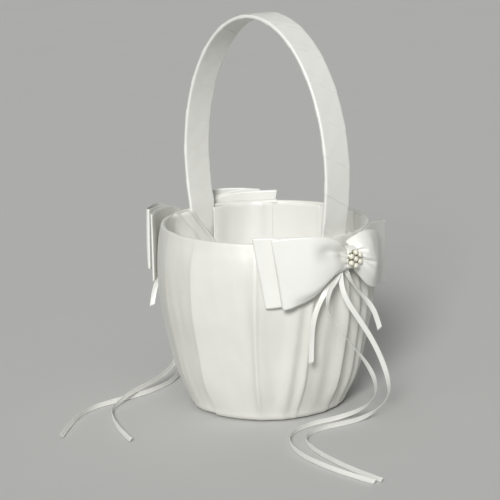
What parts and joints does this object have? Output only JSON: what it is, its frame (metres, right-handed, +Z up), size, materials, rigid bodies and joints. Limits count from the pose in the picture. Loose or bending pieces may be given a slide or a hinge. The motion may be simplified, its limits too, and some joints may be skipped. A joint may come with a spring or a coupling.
{
  "type": "flower girl basket",
  "caption": "Small round satin-covered basket, pleated and tapering to its base, with a ribbon-wrapped arch handle and a pearl-centred satin bow with ribbon tails at each end of the handle.",
  "frame": {"origin": "centre of the underside of the base, on the surface that the basket stands on", "axes": "+Z up; +X towards the front bow and that end of the handle; +Y across the handle's band"},
  "size_m": [0.2921, 0.2405, 0.28],
  "materials": {
    "satin": "ivory bridal satin, soft sheen",
    "ribbon": "ivory single-face satin ribbon, wound in a helix",
    "bow_ribbon": "ivory single-face satin ribbon",
    "tail_ribbon": "ivory narrow double-face satin ribbon",
    "shell_board": "moulded, matte",
    "card": null,
    "felt": "felt, glued",
    "staple_wire": "plain",
    "setting_metal": "polished, pale",
    "pearl": "pearlescent cream"
  },
  "bodies": {
    "root": {"basket_shell": "shell_board", "outer_cover": "satin", "lining": "satin", "floor_card": "card", "floor_satin": "satin", "base_card": "card", "base_cover": "satin", "handle_core": "shell_board", "handle_wrap": "ribbon", "front_foot_staples": "staple_wire", "front_bow_back_loops": "bow_ribbon", "front_bow_front_loops": "bow_ribbon", "front_bow_knot": "bow_ribbon", "front_bow_pad": "felt", "front_bow_setting": "setting_metal", "front_bow_pearls": "pearl", "front_tail_long_a": "tail_ribbon", "front_tail_long_b": "tail_ribbon", "front_tail_short_a": "tail_ribbon", "front_tail_short_b": "tail_ribbon", "back_foot_staples": "staple_wire", "back_bow_back_loops": "bow_ribbon", "back_bow_front_loops": "bow_ribbon", "back_bow_knot": "bow_ribbon", "back_bow_pad": "felt", "back_bow_setting": "setting_metal", "back_bow_pearls": "pearl", "back_tail_long_a": "tail_ribbon", "back_tail_long_b": "tail_ribbon", "back_tail_short_a": "tail_ribbon", "back_tail_short_b": "tail_ribbon"}
  },
  "joints": []
}
